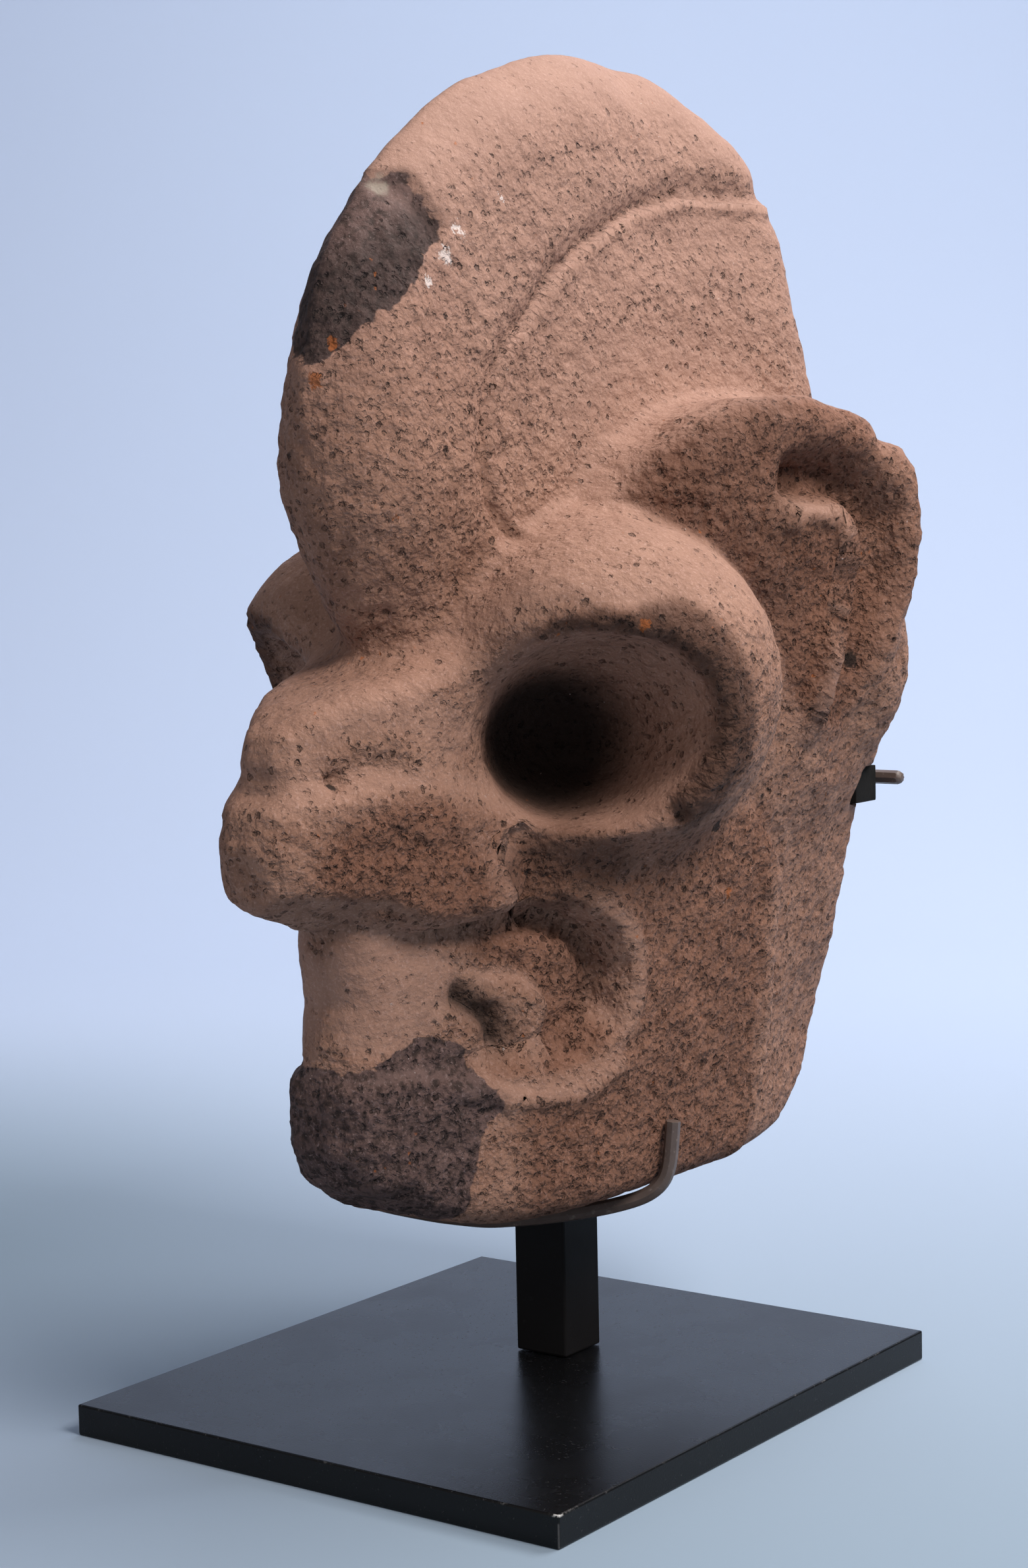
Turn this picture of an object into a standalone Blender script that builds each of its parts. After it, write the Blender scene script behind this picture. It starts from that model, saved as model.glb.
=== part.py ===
"""Carved stone hacha, a crested grotesque head, standing in its black display mount.

The head faces -Y, +X is its own left side and +Z is up. The origin is the middle of the base
plate's underside. Sizes are in metres. The carving is a free form and is given in carving units:
the stone is CARVED_HEIGHT units tall, so a unit is a millimetre at its real height. In the carving
functions x is the distance from the head's mid-plane, y runs front to back and z is the height
above the stone's lowest point. Each function returns about the distance to a surface, negative
inside the stone.
"""
import math

import bmesh
import bpy
import numpy as np
from mathutils import Vector
from mathutils.bvhtree import BVHTree

for item in list(bpy.data.objects):
    bpy.data.objects.remove(item)

# Display mount
PLATE_WIDTH = 0.1778
PLATE_DEPTH = 0.2032
PLATE_THICKNESS = 0.0095
PLATE_EDGE = 0.0006
POST_SIDE = 0.01905
POST_EDGE = 0.0007
POST_Y = 0.0242
ROD_DIAMETER = 0.00476
ROD_BEND = 0.0090
CRADLE_CENTRE = (0.0040, -0.0104)
CRADLE_TURN = math.radians(29)
PRONG_RISE = 0.0300
BACK_ROD_OVERHANG = 0.0078

# Gaps between pieces that touch
MESH_GAP = 0.0003
ROD_CLEARANCE = 0.0006

# Stone
STONE_HEIGHT = 0.356
STONE_UNDERSIDE = 0.0600
CARVED_HEIGHT = 356
UNIT = STONE_HEIGHT / CARVED_HEIGHT

# Notch in the near back edge of the stone, with a pad in it
NOTCH_FOOT = 0.1170
NOTCH_HEIGHT = 0.0125
NOTCH_DEPTH = 0.0140
NOTCH_LENGTH = 0.0140
PAD_EDGE = 0.0005

# Fineness of the stone's faceted surface
VOXEL = 0.0038
WRAP_ROUNDS = 90
STONE_TRIANGLES = 8200

# Carving units from here to the end of the carving functions
BACK_PLANE = 131
CREST_CENTRE = (61.5, 240)
CREST_RADII = (152.5, 121)
PANEL_RADII = (103, 75)
PANEL_TOP = 316
PANEL_DEPTH = 3.5
HEAD_PROFILE = [(131, 236), (131, 44), (120, 24), (100, 10), (75, 2), (30, 0), (0, 0), (-20, 1), (-40, 6),
                (-62, 14), (-80, 23), (-89, 34), (-90, 52), (-87, 61), (-85, 76), (-89, 92),
                (-84, 162), (-40, 175), (20, 230)]
NOSE_PROFILE = [(-50, 166), (-98, 161), (-109, 154), (-111, 146), (-107, 139), (-60, 130),
                (-30, 130)]
MUZZLE_PROFILE = [(-30, 138), (-100, 137), (-115, 134), (-120, 124), (-116, 108), (-100, 100),
                  (-80, 96), (-45, 100), (-30, 105)]
CREST_SLOPE = (84, 354, 0.52, 0.854)
KEEL = (11, 0.27)
EYE_CENTRE = (42, 0, 161)
EYE_RADII = (46, 56, 52)
EAR_FRONT = (47, 4)
EAR_BACK = (82, 120)
EAR_OUTLINE = [(-1, 219), (14, 232), (30, 242), (49, 248), (73, 249), (91, 245), (101, 239),
               (112, 235), (119, 225), (122, 205), (118, 185), (104, 164), (87, 145), (71, 153),
               (60, 172), (45, 190), (20, 205)]
EAR_GROOVE = [(64, 226), (79, 227), (91, 210), (87, 165)]
EAR_HOOK = [(60, 213), (72, 213), (79, 202), (74, 156)]


def blend_union(a, b, width):
    """Union of two distances with a fillet of the given width."""
    overlap = np.clip(width - np.abs(a - b), 0, None) / width
    return np.minimum(a, b) - overlap * overlap * width / 4


def blend_cut(a, b, width):
    """Common part of two distances with a rounded edge of the given width."""
    return -blend_union(-a, -b, width)


def fade(value, start, end):
    """0 below start, 1 above end, smooth between them."""
    t = np.clip((value - start) / (end - start), 0, 1)
    return t * t * (3 - 2 * t)


def soft_curve(value, knots, heights, width=8):
    """Height read from straight runs between knots, rounded over twice the width."""
    offsets = np.linspace(-width, width, 7)
    return sum(np.interp(value + offset, knots, heights) for offset in offsets) / len(offsets)


def ridge(distance, width):
    """1 on a line and 0 away from it."""
    return np.exp(-(distance / width) ** 2)


def ellipse(y, z, centre, radii):
    """About the distance to an upright ellipse in the side view."""
    dy, dz = (y - centre[0]) / radii[0], (z - centre[1]) / radii[1]
    size = np.sqrt(dy * dy + dz * dz)
    slope = np.sqrt((dy / radii[0]) ** 2 + (dz / radii[1]) ** 2)
    return size * (size - 1) / np.maximum(slope, 1e-9)


def ball(x, y, z, centre, radii, turn=0):
    """About the distance to an ellipsoid, turned by some degrees from +X toward the front."""
    c, s = math.cos(math.radians(turn)), math.sin(math.radians(turn))
    dx, dy = x - centre[0], y - centre[1]
    along = ((dx * c - dy * s) / radii[0], (dx * s + dy * c) / radii[1], (z - centre[2]) / radii[2])
    size = np.sqrt(sum(q * q for q in along))
    slope = np.sqrt(sum((q / r) ** 2 for q, r in zip(along, radii)))
    return size * (size - 1) / np.maximum(slope, 1e-9)


def outline(u, v, points):
    """Distance to a closed outline, negative inside."""
    nearest = np.full(u.shape, 1e18)
    sign = np.ones(u.shape)
    for (au, av), (bu, bv) in zip(points, points[-1:] + points[:-1]):
        eu, ev = bu - au, bv - av
        wu, wv = u - au, v - av
        t = np.clip((wu * eu + wv * ev) / (eu * eu + ev * ev), 0, 1)
        nearest = np.minimum(nearest, (wu - eu * t) ** 2 + (wv - ev * t) ** 2)
        above, below, left = v >= av, v < bv, eu * wv > ev * wu
        crossed = (above & below & left) | (~above & ~below & ~left)
        sign = np.where(crossed, -sign, sign)
    return sign * np.sqrt(nearest)


def stroke(u, v, points):
    """Distance to an open line of straight runs."""
    nearest = np.full(u.shape, 1e18)
    for (au, av), (bu, bv) in zip(points[:-1], points[1:]):
        eu, ev = bu - au, bv - av
        t = np.clip(((u - au) * eu + (v - av) * ev) / (eu * eu + ev * ev), 0, 1)
        nearest = np.minimum(nearest, (u - au - eu * t) ** 2 + (v - av - ev * t) ** 2)
    return np.sqrt(nearest)


def crest(x, y, z):
    """Tall thin crest: a rounded keel in front, and a panel sunk into each side."""
    start_y, start_z, run_y, run_z = CREST_SLOPE
    back_slope = run_y * (y - start_y) + run_z * (z - start_z)
    side_view = blend_cut(ellipse(y, z, CREST_CENTRE, CREST_RADII), back_slope, 16)
    side_view = blend_cut(side_view, y - BACK_PLANE, 18)
    narrowing = 0.12 + 0.12 * fade(y, 0, 110)
    half = 24 + 0.085 * (y + 25) + 7 * fade(y, 50, 125) - narrowing * (z - 250)
    half = np.clip(half, 10, 60)
    half -= 11 * (1 - fade(z, 175, 230)) * (1 - fade(y, -50, -10))
    arc = ellipse(y, z, CREST_CENTRE, PANEL_RADII)
    panel = np.where(y < CREST_CENTRE[0], arc, z - PANEL_TOP)
    panel = blend_cut(panel, 202 - z, 6)
    half -= PANEL_DEPTH * (1 - fade(panel, -5, 3))
    return blend_cut(side_view, x - half, 30 - 14 * fade(y, 60, 110))


def mouth_depth(y, z):
    """Depth of the mouth below the cheek: open in front, with a curled lip round a pit."""
    lip_edge = 3 + 9 * (1 - fade(z, 56, 76))
    inside = 24 - stroke(y, z, [(-120, 78), (-27, 76)])
    open_part = fade(inside / lip_edge, 0, 1)
    depth = open_part * (5 + 7 * fade(y, -62, -38))
    curl = np.sqrt(((y + 46) / 1.15) ** 2 + (z - 71) ** 2)
    depth -= 7 * ridge(curl - 16, 5.5) * fade(y - 0.6 * (66 - z), -66, -40)
    pit = np.sqrt((y + 52) ** 2 + (z - 74) ** 2)
    depth += 6 * ridge(pit, 7) * fade(z, 60, 80)
    return depth


def head(x, y, z):
    """Jaw, cheeks and back of the head."""
    half = soft_curve(y, [-120, -92, -60, -40, -7, 40, 67, 100, 131],
                      [5, 15, 26, 36, 50, 57, 58, 57, 55.5])
    rear = fade(y, -60, 60)
    half -= rear * soft_curve(z, [0, 15, 40, 71, 99, 130, 155, 180, 210, 240],
                              [11, 10, 7, 4, 0, -3, -6, 0, 14, 25])
    half -= fade(y, 70, 125) * soft_curve(z, [0, 25, 44, 71, 99], [4, 4, 9, 2.5, 0])
    cheek_back = soft_curve(z, [0, 10, 40, 105, 130], [54, 62, 70, 70, 40])
    half -= 4 * fade(y - cheek_back, -2, 6) * (1 - fade(z, 90, 140))
    half -= mouth_depth(y, z)
    shape = blend_cut(outline(y, z, HEAD_PROFILE), x - half, 12)
    keel_half, keel_rise = KEEL
    underside = (keel_rise * (x - keel_half) - z) / math.hypot(1, keel_rise)
    return blend_cut(shape, underside, 8)


def nose(x, y, z):
    """Short blunt nose with a nostril sunk into each side."""
    half = soft_curve(y, [-110, -98, -60, -40], [9, 15, 26, 36], 4)
    shape = blend_cut(outline(y, z, NOSE_PROFILE), x - half, 7)
    nostril = np.sqrt(((y + 86) / 1.9) ** 2 + (z - 147) ** 2)
    return shape + 4 * (1 - fade(nostril, 5, 11)) * fade(x, 6, 11)


def muzzle(x, y, z):
    """Heavy upper lip that stands out under the nose."""
    half = soft_curve(y, [-118, -108, -60, -44, -40], [10, 15, 31, 35, 35], 4)
    return blend_cut(outline(y, z, MUZZLE_PROFILE), x - half, 8)


def ear(x, y, z):
    """Thick ear with a hooked groove, laid along the side of the head."""
    run = (EAR_BACK[0] - EAR_FRONT[0], EAR_BACK[1] - EAR_FRONT[1])
    length = math.hypot(*run)
    dx, dy = x - EAR_FRONT[0], y - EAR_FRONT[1]
    along = (dx * run[0] + dy * run[1]) / length
    outward = (dx * run[1] - dy * run[0]) / length
    rim = outline(along, z, EAR_OUTLINE)
    surface = outward - 3 + 11 * ridge(stroke(along, z, EAR_GROOVE), 7.5)
    surface -= 3 * ridge(stroke(along, z, EAR_HOOK), 6)
    surface += 4 * fade(-rim, 10, 24) * (1 - fade(along, 40, 66))
    surface += 3 * fade(-rim, 12, 20) * fade(along, 60, 70) * (1 - fade(z, 190, 202))
    return blend_cut(blend_cut(rim, surface, 12), -outward - 45, 4)


def eye_socket(x, y, z):
    """Deep bowl sunk into the eye, deepest toward the nose."""
    mouth_of_bowl = ball(x, y, z, (62, -28, 151), (30, 36, 30), 50)
    floor_of_bowl = ball(x, y, z, (46, -14, 147), (26, 24, 22), 65)
    return blend_union(mouth_of_bowl, floor_of_bowl, 10)


def carving(side, y, z):
    """The whole carved head, the same on both sides of its mid-plane."""
    x = np.sqrt(side * side + 1)
    shape = blend_union(head(x, y, z), crest(x, y, z), 14)
    shape = blend_union(shape, ball(x, y, z, EYE_CENTRE, EYE_RADII), 9)
    shape = blend_union(shape, nose(x, y, z), 16)
    shape = blend_union(shape, muzzle(x, y, z), 7)
    shape = blend_union(shape, ball(x, y, z, (60, 115, 164), (16, 18, 32)), 8)
    shape = blend_union(shape, ear(x, y, z), 6)
    return blend_cut(shape, -eye_socket(x, y, z), 9)


def material(name, colour, roughness, metallic=0.0):
    """Principled material with one colour."""
    result = bpy.data.materials.new(name)
    result.use_nodes = True
    shader = result.node_tree.nodes["Principled BSDF"]
    shader.inputs["Base Color"].default_value = (*colour, 1)
    shader.inputs["Roughness"].default_value = roughness
    shader.inputs["Metallic"].default_value = metallic
    return result


def add_object(name, mesh, surface):
    """Object with one material in the scene."""
    mesh.materials.clear()
    mesh.materials.append(surface)
    result = bpy.data.objects.new(name, mesh)
    bpy.context.collection.objects.link(result)
    return result


def mesh_from(shape, name):
    """Mesh made from a bmesh, which is freed."""
    mesh = bpy.data.meshes.new(name)
    shape.to_mesh(mesh)
    shape.free()
    return mesh


def block(name, surface, size, centre, edge=0.0):
    """Rectangular block with small chamfers."""
    shape = bmesh.new()
    bmesh.ops.create_cube(shape, size=1)
    bmesh.ops.scale(shape, vec=size, verts=shape.verts)
    result = add_object(name, mesh_from(shape, name), surface)
    result.location = centre
    if edge:
        bevel = result.modifiers.new("Chamfer", "BEVEL")
        bevel.width = edge
        bevel.segments = 2
    return result


def evaluated(item):
    """Copy of an object's mesh with its modifiers applied."""
    bpy.context.view_layer.update()
    graph = bpy.context.evaluated_depsgraph_get()
    return bpy.data.meshes.new_from_object(item.evaluated_get(graph))


def to_carving(points):
    """Metres to carving units."""
    return (points - np.array([0, 0, STONE_UNDERSIDE])) / UNIT


def to_metres(points):
    """Carving units to metres."""
    return points * UNIT + np.array([0, 0, STONE_UNDERSIDE])


def settle(mesh, rounds, reach, relax):
    """Move a mesh's points onto the carved surface, with smoothing between the moves."""
    shape = bmesh.new()
    shape.from_mesh(mesh)
    step = 0.5
    for _ in range(rounds):
        if relax:
            bmesh.ops.smooth_vert(shape, verts=shape.verts, factor=relax, use_axis_x=True,
                                  use_axis_y=True, use_axis_z=True)
        places = to_carving(np.array([vert.co for vert in shape.verts]))
        x, y, z = places.T
        value = carving(x, y, z)
        slope = np.stack([carving(x + step, y, z) - carving(x - step, y, z),
                          carving(x, y + step, z) - carving(x, y - step, z),
                          carving(x, y, z + step) - carving(x, y, z - step)], 1) / (2 * step)
        steepness = np.maximum((slope ** 2).sum(1), 0.2)
        move = np.clip(value / np.sqrt(steepness), -reach, reach)
        places = places - slope * (move / np.sqrt(steepness))[:, None]
        for vert, place in zip(shape.verts, to_metres(places)):
            vert.co = place
    shape.to_mesh(mesh)
    shape.free()


def wrap(mesh, half_size, centre):
    """Shrink an ellipsoid's points straight inward until each first meets the carving."""
    places = np.array([vert.co for vert in mesh.vertices])
    inward = -(places - np.array(centre)) / np.array(half_size) ** 2
    inward /= np.linalg.norm(inward, axis=1)[:, None]
    places = to_carving(places)
    for _ in range(WRAP_ROUNDS):
        value = carving(*places.T)
        places += inward * np.clip(0.6 * value, 0, 8)[:, None]
    for vert, place in zip(mesh.vertices, to_metres(places)):
        vert.co = place


def remeshed(mesh):
    """Even mesh over the same form."""
    item = bpy.data.objects.new("rough_form", mesh)
    bpy.context.collection.objects.link(item)
    grid = item.modifiers.new("Grid", "REMESH")
    grid.mode = "VOXEL"
    grid.voxel_size = VOXEL
    result = evaluated(item)
    bpy.data.objects.remove(item)
    return result


def stone_mesh():
    """Closed faceted surface of the carving, inside the triangle budget."""
    shape = bmesh.new()
    bmesh.ops.create_icosphere(shape, subdivisions=6, radius=1)
    half_size = Vector((0.30, 0.40, 0.56)) * STONE_HEIGHT
    centre = Vector((0, 0.03 * STONE_HEIGHT, STONE_UNDERSIDE + STONE_HEIGHT / 2))
    bmesh.ops.scale(shape, vec=half_size, verts=shape.verts)
    bmesh.ops.translate(shape, vec=centre, verts=shape.verts)
    mesh = mesh_from(shape, "stone_hacha")
    wrap(mesh, half_size, centre)
    mesh = remeshed(mesh)
    settle(mesh, 6, 4, 0.4)
    mesh = remeshed(mesh)
    settle(mesh, 4, 3, 0.3)
    settle(mesh, 3, 2, 0.12)
    item = bpy.data.objects.new("fine_form", mesh)
    bpy.context.collection.objects.link(item)
    triangles = sum(len(face.vertices) - 2 for face in mesh.polygons)
    thin = item.modifiers.new("Thin", "DECIMATE")
    thin.ratio = STONE_TRIANGLES / triangles
    thin.use_collapse_triangulate = True
    result = evaluated(item)
    bpy.data.objects.remove(item)
    return result


def hug(tree, start, direction, offset):
    """Place outward from start where the stone's surface is as far off as offset."""
    direction = Vector(direction).normalized()
    hit = tree.ray_cast(Vector(start), direction)[0]
    place = hit + direction * offset
    for _ in range(12):
        gap = (tree.find_nearest(place)[0] - place).length
        place += direction * (offset - gap)
    return place


def rod(name, surface, route):
    """Round rod with flat ends along a route."""
    curve = bpy.data.curves.new(name, "CURVE")
    curve.dimensions = "3D"
    curve.bevel_depth = ROD_DIAMETER / 2
    curve.bevel_resolution = 2
    curve.use_fill_caps = True
    line = curve.splines.new("POLY")
    line.points.add(len(route) - 1)
    for point, place in zip(line.points, route):
        point.co = (*place, 1)
    curve.materials.append(surface)
    result = bpy.data.objects.new(name, curve)
    bpy.context.collection.objects.link(result)
    return result


def fan(start, end, count):
    """Evenly spaced values from start to end."""
    return [start + (end - start) * index / (count - 1) for index in range(count)]


stone_surface = material("volcanic_stone", (0.27, 0.17, 0.115), 0.9)
black_surface = material("black_paint", (0.008, 0.008, 0.010), 0.42)
brown_surface = material("brown_paint", (0.13, 0.085, 0.070), 0.55)
pad_surface = material("black_rubber", (0.006, 0.006, 0.006), 0.8)

# Stone, with the notch cut last
stone = add_object("stone_hacha", stone_mesh(), stone_surface)
stone.data.shade_smooth()
tree = BVHTree.FromObject(stone, bpy.context.evaluated_depsgraph_get())

back_y = BACK_PLANE * UNIT
rod_radius = ROD_DIAMETER / 2
rod_offset = rod_radius + ROD_CLEARANCE
notch_z = STONE_UNDERSIDE + NOTCH_FOOT + NOTCH_HEIGHT / 2
middle_height = STONE_UNDERSIDE + STONE_HEIGHT / 6
edge_place = hug(tree, (0, back_y - NOTCH_DEPTH / 2, notch_z), (1, 0, 0), 0)
notch_inner_x = edge_place.x - NOTCH_LENGTH

cutter = block("notch_cutter", stone_surface, (3 * NOTCH_LENGTH, 2 * NOTCH_DEPTH, NOTCH_HEIGHT),
               (notch_inner_x + 1.5 * NOTCH_LENGTH, back_y, notch_z))
cutter.display_type = "WIRE"
cutter.hide_render = True
notch = stone.modifiers.new("Notch", "BOOLEAN")
notch.operation = "DIFFERENCE"
notch.object = cutter
notch.solver = "EXACT"

# Rod that crosses under the stone at a slant, with a prong up each side
cradle_start = Vector((*CRADLE_CENTRE, middle_height))
cradle_run = Vector((math.cos(CRADLE_TURN), math.sin(CRADLE_TURN), 0))
prong_drop = middle_height - STONE_UNDERSIDE - PRONG_RISE
prong_angles = []
for side in (1, -1):
    prong_foot = cradle_start - Vector((0, 0, prong_drop))
    prong_place = hug(tree, prong_foot, side * cradle_run, rod_offset)
    prong_angles.append(math.atan2(prong_drop, (prong_place - prong_foot).length))
cradle_route = [hug(tree, cradle_start, math.cos(a) * cradle_run - Vector((0, 0, math.sin(a))),
                    rod_offset)
                for a in fan(prong_angles[0], math.pi - prong_angles[1], 34)]
rod("cradle_rod", brown_surface, cradle_route)

# Rod that runs back under the stone, up behind it and out past the notch
arm_centre = Vector((0, back_y / 2, STONE_UNDERSIDE + STONE_HEIGHT / 4))
back_rod_z = notch_z + ROD_DIAMETER / 3
rod_reach = rod_radius + (rod_radius + MESH_GAP) / math.cos(CRADLE_TURN)
cradle_y = CRADLE_CENTRE[1] - CRADLE_CENTRE[0] * math.tan(CRADLE_TURN)
start_run = cradle_y + rod_reach - arm_centre.y
start_angle = math.atan2(-(arm_centre.z - STONE_UNDERSIDE), start_run)
arm_top = Vector((0, back_y, back_rod_z - ROD_BEND)) - arm_centre
end_angle = math.atan2(arm_top.z, arm_top.y)
arm_route = [hug(tree, arm_centre, (0, math.cos(a), math.sin(a)), rod_offset)
             for a in fan(start_angle, end_angle, 44)]
arm_route[0].y = cradle_y + rod_reach
back_rod_y = arm_route[-1].y
arm_route += [Vector((ROD_BEND * (1 - math.cos(a)), back_rod_y,
                      back_rod_z - ROD_BEND + ROD_BEND * math.sin(a)))
              for a in fan(0, math.pi / 2, 7)[1:]]
arm_route.append(Vector((edge_place.x + BACK_ROD_OVERHANG, back_rod_y, back_rod_z)))
rod("back_arm_rod", brown_surface, arm_route)

# Pad that fills the notch in front of the rod
pad_reach = (notch_inner_x + MESH_GAP, edge_place.x)
pad_depth = NOTCH_DEPTH - 2 * MESH_GAP
block("back_pad", pad_surface, (pad_reach[1] - pad_reach[0], pad_depth,
                                NOTCH_HEIGHT - 2 * MESH_GAP),
      (sum(pad_reach) / 2, back_y - NOTCH_DEPTH + MESH_GAP + pad_depth / 2, notch_z), PAD_EDGE)

# Plate, and the post that ends just under the lowest rod above it
block("base_plate", black_surface, (PLATE_WIDTH, PLATE_DEPTH, PLATE_THICKNESS),
      (0, 0, PLATE_THICKNESS / 2), PLATE_EDGE)
over_post = [place.z for place in cradle_route + arm_route
             if abs(place.x) < POST_SIDE and abs(place.y - POST_Y) < POST_SIDE]
post_top = min(over_post) - rod_radius - MESH_GAP
post_foot = PLATE_THICKNESS + MESH_GAP
block("mount_post", black_surface, (POST_SIDE, POST_SIDE, post_top - post_foot),
      (0, POST_Y, (post_top + post_foot) / 2), POST_EDGE)
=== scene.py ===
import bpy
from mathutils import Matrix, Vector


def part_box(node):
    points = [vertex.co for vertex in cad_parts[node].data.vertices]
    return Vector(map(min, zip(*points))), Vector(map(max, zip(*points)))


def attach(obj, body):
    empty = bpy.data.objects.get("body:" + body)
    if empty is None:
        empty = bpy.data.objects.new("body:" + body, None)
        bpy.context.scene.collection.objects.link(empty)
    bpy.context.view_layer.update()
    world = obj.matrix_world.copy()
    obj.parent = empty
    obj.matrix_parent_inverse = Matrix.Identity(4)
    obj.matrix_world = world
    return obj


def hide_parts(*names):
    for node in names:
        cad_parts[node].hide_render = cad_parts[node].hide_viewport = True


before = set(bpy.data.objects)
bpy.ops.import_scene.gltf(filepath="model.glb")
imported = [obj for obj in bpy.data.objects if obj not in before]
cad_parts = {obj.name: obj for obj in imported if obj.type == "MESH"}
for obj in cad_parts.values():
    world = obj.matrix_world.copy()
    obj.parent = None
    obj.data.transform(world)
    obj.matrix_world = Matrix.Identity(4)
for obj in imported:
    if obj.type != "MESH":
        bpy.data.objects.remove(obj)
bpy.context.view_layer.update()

import math

import bmesh
import bpy
import numpy as np
from mathutils import Matrix, Vector, noise

# Camera.
# It stands at the head's left front, a little above the middle of the stone, and looks slightly
# down on the base plate.
camera_place = (0.5129, -0.6915, 0.2709)
camera_azimuth = math.radians(36.303)
camera_elevation = math.radians(5.247)
camera_roll = math.radians(-1.243)
lens = bpy.data.cameras.new("camera")
lens.lens = 64.84
lens.sensor_width = 36
camera = bpy.data.objects.new("camera", lens)
camera.matrix_world = (Matrix.Translation(camera_place)
                       @ Matrix.Rotation(camera_azimuth, 4, "Z")
                       @ Matrix.Rotation(math.pi / 2 - camera_elevation, 4, "X")
                       @ Matrix.Rotation(camera_roll, 4, "Z"))
bpy.context.collection.objects.link(camera)
bpy.context.scene.camera = camera


# Base plate and post.
# Both are mild steel under a satin black coat. The plate is cut from thick flat bar with its
# edges just broken, and the square post is welded upright on it, behind the middle.
def connect(socket, value):
    """Link a channel to a socket, or set the socket to a plain value."""
    if isinstance(value, Channel):
        socket.id_data.links.new(value.socket, socket)
    else:
        socket.default_value = value


class Channel:
    """Shader output that takes part in sums."""

    def __init__(self, socket):
        self.socket = socket

    def combined(self, operation, first, second):
        """Math node on two numbers, either of which may be a plain one."""
        node = self.socket.id_data.nodes.new("ShaderNodeMath")
        node.operation = operation
        connect(node.inputs[0], first)
        connect(node.inputs[1], second)
        return Channel(node.outputs[0])

    def __add__(self, other):
        return self.combined("ADD", self, other)

    def __radd__(self, other):
        return self.combined("ADD", other, self)

    def __sub__(self, other):
        return self.combined("SUBTRACT", self, other)

    def __rsub__(self, other):
        return self.combined("SUBTRACT", other, self)

    def __mul__(self, other):
        return self.combined("MULTIPLY", self, other)

    def __rmul__(self, other):
        return self.combined("MULTIPLY", other, self)


class Finish:
    """Surface finish built up from shader nodes on one material."""

    def __init__(self, name):
        self.material = bpy.data.materials.new(name)
        self.material.use_nodes = True
        self.tree = self.material.node_tree
        self.surface = self.tree.nodes["Principled BSDF"].inputs
        self.place = self.node("TexCoord", output="Object")

    def node(self, kind, settings=None, inputs=None, output=0):
        """New node of a kind, with its settings made first and then its sockets filled."""
        item = self.tree.nodes.new("ShaderNode" + kind)
        for name, value in (settings or {}).items():
            setattr(item, name, value)
        for name, value in (inputs or {}).items():
            connect(item.inputs[name], value)
        return Channel(item.outputs[output])

    def mottle(self, size, detail, roughness, output="Fac"):
        """Cloudy pattern whose spots are about size metres across."""
        return self.node("TexNoise", {}, {"Vector": self.place, "Scale": 1 / size,
                                          "Detail": detail, "Roughness": roughness}, output)

    def fade(self, value, start, end):
        """0 at start and 1 at end, smooth between them."""
        return self.node("MapRange", {"interpolation_type": "SMOOTHSTEP"},
                         {"Value": value, "From Min": start, "From Max": end})

    def tint(self, share, first, second, mode="MIX"):
        """Colour that goes from the first to the second with share."""
        return self.node("Mix", {"data_type": "RGBA", "blend_type": mode},
                         {0: share, 6: first, 7: second}, 2)

    def layered(self, colour, layers):
        """Colour with others laid over it, each by its own share."""
        for share, over in layers:
            colour = self.tint(share, colour, over)
        return colour

    def axis(self, name):
        """Distance along one of the object's own axes."""
        return self.node("SeparateXYZ", {}, {0: self.place}, name)

    def distance(self, point, place=None):
        """Distance to a point given in metres."""
        return self.node("VectorMath", {"operation": "DISTANCE"},
                         {0: place or self.place, 1: point}, "Value")

    def relief(self, height, depth, under=None):
        """Bump of a height pattern, depth metres deep, over another bump."""
        inputs = {"Height": height, "Distance": depth}
        if under:
            inputs["Normal"] = under
        return self.node("Bump", {}, inputs)

    def least(self, first, second):
        """Smaller of two channels."""
        return self.node("Math", {"operation": "MINIMUM"}, {0: first, 1: second})

    def absolute(self, value):
        """Size of a channel without its sign."""
        return self.node("Math", {"operation": "ABSOLUTE"}, {0: value})


plate_low, plate_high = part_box("base_plate")
black_coat = Finish("black_coat")
across, along, upward = [black_coat.axis(name) for name in "XYZ"]
from_side = black_coat.least(plate_high.x - black_coat.absolute(across),
                             plate_high.y - black_coat.absolute(along))
from_edge = from_side + black_coat.absolute(plate_high.z - upward)
coat_cloud = black_coat.mottle(0.030, 4, 0.6)
coat_grain = black_coat.mottle(0.0006, 2, 0.5)
edge_wear = (1 - black_coat.fade(from_edge, 0.0002, 0.0007)) * black_coat.fade(
    black_coat.mottle(0.006, 4, 0.8), 0.58, 0.66)
near_edge = black_coat.distance((plate_high.x, plate_low.y, 0),
                                black_coat.node("CombineXYZ", {}, {"X": across, "Y": along}))
edge_wear = edge_wear + 0.8 * (1 - black_coat.fade(near_edge, 0.0002, 0.0006)) * black_coat.fade(
    black_coat.mottle(0.003, 3, 0.6), 0.40, 0.55)
near_corner = black_coat.distance((plate_high.x, plate_low.y, plate_high.z))
chips = (1 - black_coat.fade(near_corner, 0.0008, 0.0034)) * (
    1 - black_coat.fade(from_edge, 0.0003, 0.0008)) * black_coat.fade(
    black_coat.mottle(0.0013, 2, 0.5), 0.42, 0.50)
dust = black_coat.fade(black_coat.mottle(0.0009, 1, 0.4), 0.70, 0.76) * 0.12
coat_colour = black_coat.layered((0.0030, 0.0030, 0.0034, 1), (
    (coat_cloud, (0.0050, 0.0050, 0.0056, 1)),
    (dust + edge_wear * 0.5, (0.20, 0.19, 0.19, 1)),
    (chips, (0.62, 0.60, 0.58, 1))))
connect(black_coat.surface["Base Color"], coat_colour)
connect(black_coat.surface["Roughness"], 0.20 + coat_cloud * 0.14 + dust)
black_coat.surface["Specular IOR Level"].default_value = 0.22
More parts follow.
